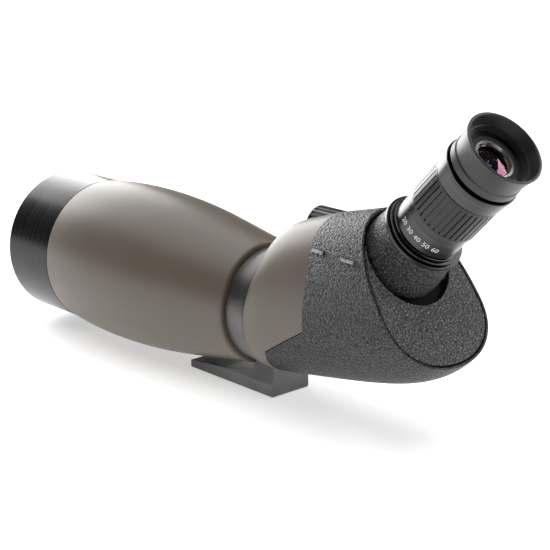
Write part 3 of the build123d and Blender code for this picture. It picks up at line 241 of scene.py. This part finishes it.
def leatherette(name, dark, light, roughness, cell, depth):
    """Moulded rubber with a pebbled leather grain; the cells are that wide."""
    wobble_size, wobble_reach = 0.7, 0.9
    groove_end = 0.38
    fine_grain, fine_share = 4.0, 0.25
    shade_share = 0.22
    shade_range = (0.25, 1.1)
    gloss_change, tone_share = 0.15, 0.08
    made = Shader(name, dark, roughness, Specular_IOR_Level=0.5)
    where = made.place()
    warp = made.node("ShaderNodeVectorMath", operation="MULTIPLY_ADD")
    made.link(made.noise(where, wobble_size / cell, output="Color"), warp.inputs[0])
    warp.inputs[1].default_value = (cell * wobble_reach,) * 3
    made.link(where, warp.inputs[2])
    warped = warp.outputs["Vector"]
    edge = made.cells(warped, 1.0 / cell, "DISTANCE_TO_EDGE")
    centre = made.cells(warped, 1.0 / cell, "F1")
    pebble = made.spread(edge, 0.0, 1.0, 0.0, groove_end)
    shade = made.sum(pebble, made.noise(where, fine_grain / cell), fine_share)
    dome = made.math("SUBTRACT", 1.0, made.math("MULTIPLY", centre, centre))
    made.tint(made.spread(shade, 0.0, 1.0, *shade_range), dark, light)
    rough = (roughness * (1.0 + gloss_change), roughness * (1.0 - gloss_change))
    tone = made.noise(where, 30.0, detail=3.0)
    made.feed("Roughness", made.sum(made.spread(pebble, *rough), tone, tone_share))
    made.bump(made.sum(dome, shade, shade_share), depth)
    return made


def rubber(name, colour, roughness, grain=1800.0, depth=0.00002, **sockets):
    """Moulded rubber or plastic: fine matt skin with faint bloom."""
    bloom_range = (0.35, 0.75)
    bloom_gain, bloom_floor = 1.5, 0.004
    made = Shader(name, colour, roughness, **sockets)
    where = made.place()
    bloom = made.noise(where, 60.0, detail=5.0, roughness=0.6)
    light = tuple(channel * bloom_gain + bloom_floor for channel in colour)
    made.tint(made.spread(bloom, 0.0, 1.0, *bloom_range), colour, light)
    rough = made.spread(bloom, roughness * 0.9, roughness * 1.12, *bloom_range)
    made.feed("Roughness", rough)
    made.bump(made.noise(where, grain), depth)
    return made.material


def glass(name, tint, film=420.0):
    """Coated glass: a thin film, in nanometres, gives its reflections their colour."""
    made = Shader(
        name, tint, 0.02, Transmission_Weight=1.0, IOR=1.52,
        Thin_Film_Thickness=film, Thin_Film_IOR=1.38,
    )
    haze = made.noise(made.place(), 90.0, detail=3.0)
    made.feed("Roughness", made.spread(haze, 0.01, 0.035, 0.3, 0.7))
    return made.material


def felt(name, colour):
    made = Shader(name, colour, 0.95, Sheen_Weight=0.4)
    fibre = made.noise(made.place(), 2600.0, detail=4.0, roughness=0.7)
    made.tint(fibre, colour, scaled(colour, 2.2))
    made.bump(fibre, 0.00012)
    return made.material


# ------------------------------------------------------------------ paint and armour, with painted shade and highlights
NEAR_BLACK = (0.006, 0.006, 0.006)
TAUPE_SPECULAR = 0.55


def taupe_paint(name):
    return painted(name, (0.121, 0.098, 0.074), 0.40, grain=2600.0, depth=0.000012,
                   mottle=0.05, Specular_IOR_Level=TAUPE_SPECULAR)


def housing_paint_and_shade():
    """The housing's paint with painted shade: near-black and with almost no reflection in the
    open line round the rear pad and the neck, in the focus knob's pocket and along the armour's
    diagonal edge, where shade falls."""
    face_tilt = math.radians(36.0)
    face_start, face_blend = 0.0701, 0.0002     # from the crossing, along the face's normal
    pocket_middle, pocket_radius = Vector((0.0, 0.016, 0.1034)), 0.0119
    edge_start = Vector((0.0132, 0.0, 0.0066))  # both ends from the crossing
    edge_end = Vector((-0.0239, 0.0, -0.0152))
    edge_line = 0.0006

    made = taupe_paint("housing_paint_and_shade")
    spot = made.framed("rear_housing")
    from_crossing = made.less(spot, CROSSING)
    face_normal = (math.cos(face_tilt), 0.0, math.sin(face_tilt))
    face_depth = made.dot(from_crossing, face_normal)
    behind = made.spread(face_depth, 0.0, 1.0, face_start, face_start + face_blend)

    from_pocket = made.less(spot, pocket_middle)
    across_pocket = made.vector("MULTIPLY", from_pocket, (0.0, 1.0, 1.0))["Vector"]
    pocket = made.inside(made.length(across_pocket), pocket_radius)

    edge_length = (edge_end - edge_start).length
    along = (edge_end - edge_start).normalized()
    away = Vector((along.z, 0.0, -along.x))
    from_start = made.less(from_crossing, edge_start)
    near_edge = made.inside(made.dot(from_start, away), edge_line)
    line = made.math("MULTIPLY", near_edge, made.inside(made.dot(from_start, along), edge_length))

    # Painted shade: the recess round the pad and neck, the knob's pocket and the armour's edge
    # gap are painted near-black with almost no reflection.
    black = made.math("MAXIMUM", behind, made.math("MAXIMUM", pocket, line))
    made.over(black, NEAR_BLACK)
    made.feed("Specular IOR Level", made.spread(black, TAUPE_SPECULAR, 0.02))
    return made.material


def armor_leather():
    """The armour's leather grain, with painted shade that darkens it and cuts its reflection
    toward the underside, and its two
    dashes drawn in painted light: a painted highlight on the light tops, a dark outline of
    painted shade and a black spot of painted shadow at the rear end."""
    low, high = 0.012, 0.058
    underside_shade_share = 0.12
    first_middle, spacing, rise = 0.01525, 0.026, 0.0516
    half_length, highlight_radius, outline, shadow_spot_radius = 0.00475, 0.00078, 0.00125, 0.00062
    dash_highlight_grey = (0.30, 0.30, 0.30)

    made = leatherette("armor_leatherette_painted_light", (0.006, 0.006, 0.006), (0.110, 0.110, 0.114), 0.33,
                       cell=0.0015, depth=0.0009)
    spot = made.framed("housing_armor")
    height = made.split(spot)["Z"]
    # Painted shade: darker and less reflective toward the underside.
    made.over(made.spread(height, 1.0 - underside_shade_share, 0.0, low, high), NEAR_BLACK)
    made.feed("Specular IOR Level", made.spread(height, 0.0, 0.5, low, high))

    on_side = made.split(made.less(spot, CROSSING))
    from_first = made.math("SUBTRACT", on_side["X"], first_middle)
    along = made.math("WRAP", from_first, spacing / 2, -spacing / 2)
    across = made.math("SUBTRACT", on_side["Z"], rise)
    past_end = made.math("SUBTRACT", made.math("ABSOLUTE", along), half_length)
    to_dash = made.hypotenuse(made.math("MAXIMUM", past_end, 0.0), across)
    to_shadow_spot = made.hypotenuse(made.math("SUBTRACT", along, half_length), across)
    # Each dash: a dark outline of painted shade, a painted highlight on its top and a painted
    # shadow spot at its rear end.
    made.over(made.inside(to_dash, outline), NEAR_BLACK)
    made.over(made.inside(to_dash, highlight_radius), dash_highlight_grey)
    made.over(made.inside(to_shadow_spot, shadow_spot_radius), NEAR_BLACK)
    return made.material


# ------------------------------------------------------------------ materials by node
collar_crinkle = painted(
    "collar_crinkle", (0.120, 0.118, 0.116), 0.34, grain=1500.0, depth=0.00013, mottle=0.35,
    metallic=0.85, Specular_IOR_Level=0.6,
)
pad_leather = leatherette(
    "pad_leatherette", (0.024, 0.024, 0.025), (0.205, 0.205, 0.210), 0.32,
    cell=0.0016, depth=0.0011,
)
neck_leather = leatherette(
    "neck_leatherette", (0.006, 0.006, 0.006), (0.110, 0.110, 0.114), 0.33,
    cell=0.0014, depth=0.0008,
)
hood_black = turned_metal("hood_anodised", (0.034, 0.033, 0.034), 0.26, 0.95, ALONG_X)
eye_black = turned_metal(
    "eyepiece_anodised", (0.068, 0.068, 0.070), 0.22, 1.0, ALONG_EYE,
    lines=900.0, depth=0.000002,
)
flange_black = turned_metal(
    "flange_anodised", (0.060, 0.060, 0.062), 0.26, 1.0, ALONG_EYE,
    lines=900.0, depth=0.000003,
)
grip_rubber = rubber("grip_rubber", (0.007, 0.007, 0.007), 0.30, Specular_IOR_Level=0.5)
knob_rubber = rubber(
    "knob_rubber", (0.022, 0.022, 0.023), 0.30, Specular_IOR_Level=1.0,
    Coat_Weight=0.5, Coat_Roughness=0.2,
)
cup_rubber = rubber(
    "eyecup_rubber", (0.013, 0.013, 0.013), 0.40, grain=1200.0, Specular_IOR_Level=0.55
)
seal_rubber = rubber("seal_rubber", (0.012, 0.012, 0.012), 0.6)
flat_black = rubber("flat_black", NEAR_BLACK, 0.75, grain=3000.0)
black_plastic = rubber("black_plastic", (0.018, 0.018, 0.019), 0.4)
liner_plastic = rubber("liner_plastic", (0.55, 0.54, 0.5), 0.5)
steel = turned_metal("turned_steel", (0.52, 0.52, 0.53), 0.28, 1.0, ALONG_X)
alloy = turned_metal("machined_alloy", (0.58, 0.58, 0.59), 0.32, 1.0, ALONG_X)
eye_alloy = turned_metal("eyepiece_alloy", (0.58, 0.58, 0.59), 0.3, 1.0, ALONG_EYE)
brass = turned_metal("turned_brass", (0.62, 0.44, 0.18), 0.3, 1.0, ALONG_Z)
eye_brass = turned_metal("cam_brass", (0.62, 0.44, 0.18), 0.3, 1.0, ALONG_EYE)
silver = turned_metal("silver_ring", (0.46, 0.47, 0.46), 0.22, 1.0, ALONG_EYE)
lens_glass = glass("lens_glass", (0.93, 0.98, 0.96))
eye_glass = glass("eye_lens_glass", (0.36, 0.50, 0.52), film=560.0)
prism_glass = glass("prism_glass", (0.96, 0.98, 0.97), film=0.0)
hood_felt = felt("hood_felt", (0.010, 0.010, 0.010))

FINISH = {
    taupe_paint("taupe_paint").material: ["front_tube"],
    housing_paint_and_shade(): ["rear_housing"],
    collar_crinkle.material: ["mount_collar"],
    hood_black: ["sunshade_tube"],
    hood_felt: ["sunshade_liner"],
    armor_leather(): ["housing_armor"],
    neck_leather.material: ["neck_armor"],
    pad_leather.material: ["rear_pad"],
    eye_black: ["eyepiece_barrel", "eyepiece_top_ring"],
    flange_black: ["neck_tube", "eyepiece_base", "eyepiece_lock_ring"],
    grip_rubber: ["zoom_grip"],
    knob_rubber: ["focus_knob"],
    cup_rubber: ["eyecup"],
    seal_rubber: ["objective_seal"],
    flat_black: [
        "objective_barrel", "objective_cell", "objective_retaining_ring", "tube_baffles",
        "focus_carriage", "focusing_lens_ring", "field_stop", "eye_lens_cell",
        "zoom_front_cell", "zoom_rear_cell", "lens_guide_tube",
    ],
    black_plastic: ["clamp_knob"],
    liner_plastic: ["collar_liner_front", "collar_liner_rear", "clamp_pad"],
    steel: [
        "clamp_stud", "bearing_flange_screws", "prism_holder_screws", "prism_clip",
        "prism_clip_screws", "guide_rods", "focus_shaft",
    ],
    alloy: [
        "objective_spacer", "bearing_tube", "bearing_nut", "housing_front_plate",
        "prism_holder",
    ],
    eye_alloy: ["neck_nut"],
    brass: ["socket_insert", "focus_bushing"],
    eye_brass: ["zoom_cam_tube"],
    silver: ["eye_lens_retainer"],
    lens_glass: [
        "objective_crown_lens", "objective_flint_lens", "focusing_lens", "zoom_front_lens",
        "zoom_rear_lens",
    ],
    eye_glass: ["eye_lens"],
    prism_glass: ["roof_prism"],
}
for material, names in FINISH.items():
    for name in names:
        mesh = nodes[name].data
        mesh.materials.clear()
        mesh.materials.append(material)

# ------------------------------------------------------------------ printed zoom scale
SCALE_STATION = 0.1030              # from the crossing, along the eyepiece
SCALE_START = math.radians(166.0)
SCALE_STEP = math.radians(17.0)
NUMBER_SIZE = 0.0042
PRINT_THICKNESS = 0.00003

print_white = Shader("scale_paint", (0.78, 0.78, 0.78), 0.5)
ink = print_white.noise(print_white.place(), 1500.0, detail=3.0)
print_white.tint(ink, (0.62, 0.62, 0.62), (0.85, 0.85, 0.85))


def around_eye(station, radius, angle):
    """A point on the eyepiece: station along it and angle about it, from the far side up."""
    across = Vector((0.0, 1.0, 0.0))
    over = EYE_DIRECTION.cross(across)
    out = across * math.cos(angle) + over * math.sin(angle)
    return CROSSING + EYE_DIRECTION * station + out * radius


def wrap(mesh, station, radius, middle):
    """Bend a flat mesh (x around the eyepiece, y along it) onto its surface."""
    for vertex in mesh.vertices:
        angle = middle + vertex.co.x / radius
        lift = PRINT_THICKNESS + vertex.co.z
        vertex.co = around_eye(station + vertex.co.y, radius + lift, angle)


def printed(name, text, middle, body):
    """A printed number wrapped round the eyepiece, read from the neck's side."""
    curve = bpy.data.curves.new(name, "FONT")
    curve.body = text
    curve.size = NUMBER_SIZE
    curve.align_x = "CENTER"
    curve.align_y = "CENTER"
    curve.extrude = PRINT_THICKNESS
    curve.resolution_u = 3
    source = bpy.data.objects.new(name + "_source", curve)
    scene.collection.objects.link(source)
    bpy.context.view_layer.update()
    mesh = bpy.data.meshes.new_from_object(source)
    bpy.data.objects.remove(source)
    wrap(mesh, SCALE_STATION, BARREL_RADIUS, middle)
    mesh.update()
    mesh.materials.clear()
    mesh.materials.append(print_white.material)
    piece = bpy.data.objects.new(name, mesh)
    scene.collection.objects.link(piece)
    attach(piece, body)


for index, number in enumerate(("20", "30", "40", "50", "60")):
    printed("zoom_number_" + number, number, SCALE_START + index * SCALE_STEP, "scope")

# ------------------------------------------------------------------ floor
FLOOR_REACH = 6.0
FLOOR_DROP = 0.0004
corners = [(-1, -1), (1, -1), (1, 1), (-1, 1)]
floor_mesh = bpy.data.meshes.new("floor")
floor_mesh.from_pydata([(x * FLOOR_REACH, y * FLOOR_REACH, 0) for x, y in corners], [],
                       [(0, 1, 2, 3)])
floor = bpy.data.objects.new("floor", floor_mesh)
floor.location.z = -FLOOR_DROP
scene.collection.objects.link(floor)
floor_paint = Shader(
    "floor_paint", (0.93, 0.93, 0.93), 0.9, Specular_IOR_Level=0.1,
    Emission_Color=(1.0, 1.0, 1.0, 1.0), Emission_Strength=0.50,
)
floor_mesh.materials.append(floor_paint.material)

# ------------------------------------------------------------------ light
WORLD_STRENGTH = 0.10
SUN_STRENGTH = 2.35
SUN_SPREAD = math.radians(84.0)
SUN_TILT = math.radians(-8.0)

world = bpy.data.worlds.new("studio")
scene.world = world
world.use_nodes = True
background = world.node_tree.nodes["Background"]
background.inputs["Color"].default_value = (1.0, 1.0, 1.0, 1.0)
background.inputs["Strength"].default_value = WORLD_STRENGTH

sun = bpy.data.lights.new("overhead", "SUN")
sun.energy = SUN_STRENGTH
sun.angle = SUN_SPREAD
sun_holder = bpy.data.objects.new("overhead", sun)
sun_holder.rotation_euler = (0.0, SUN_TILT, 0.0)
scene.collection.objects.link(sun_holder)


def softbox(name, place, target, width, height, power):
    light = bpy.data.lights.new(name, "AREA")
    light.shape = "RECTANGLE"
    light.size = width
    light.size_y = height
    light.energy = power
    holder = bpy.data.objects.new(name, light)
    holder.location = place
    holder.rotation_mode = "QUATERNION"
    holder.rotation_quaternion = (Vector(target) - Vector(place)).to_track_quat("-Z", "Y")
    scene.collection.objects.link(holder)


softbox("front", (-1.3, 0.30, 0.42), (0.0, 0.0, 0.10), width=1.0, height=0.9, power=17.0)
softbox("rear_rim", (0.9, 1.3, 0.9), (0.1, 0.0, 0.08), width=0.9, height=0.6, power=12.0)

# ------------------------------------------------------------------ camera
# It stands behind the user's left shoulder, a little above the scope.
CAMERA_AZIMUTH = math.radians(48.439)
CAMERA_ELEVATION = math.radians(16.015)
CAMERA_ROLL = math.radians(-0.692)
CAMERA_PLACE = (0.6731, -0.5740, 0.31885)
CAMERA_LENS = 99.39                 # millimetres, as the sensor's width
CAMERA_SENSOR = 36.0

camera_data = bpy.data.cameras.new("camera")
camera_data.lens = CAMERA_LENS
camera_data.sensor_width = CAMERA_SENSOR
camera_data.clip_start = 0.01
camera_data.clip_end = 50.0
camera = bpy.data.objects.new("camera", camera_data)
scene.collection.objects.link(camera)
level = Vector((math.cos(CAMERA_AZIMUTH), math.sin(CAMERA_AZIMUTH), 0.0))
back = Vector((
    math.sin(CAMERA_AZIMUTH) * math.cos(CAMERA_ELEVATION),
    -math.cos(CAMERA_AZIMUTH) * math.cos(CAMERA_ELEVATION),
    math.sin(CAMERA_ELEVATION),
))
upward = back.cross(level)
right = math.cos(CAMERA_ROLL) * level + math.sin(CAMERA_ROLL) * upward
top = -math.sin(CAMERA_ROLL) * level + math.cos(CAMERA_ROLL) * upward
turn = Matrix((right, top, back)).transposed().to_4x4()
camera.matrix_world = Matrix.Translation(CAMERA_PLACE) @ turn
scene.camera = camera
scene.view_settings.view_transform = "Standard"
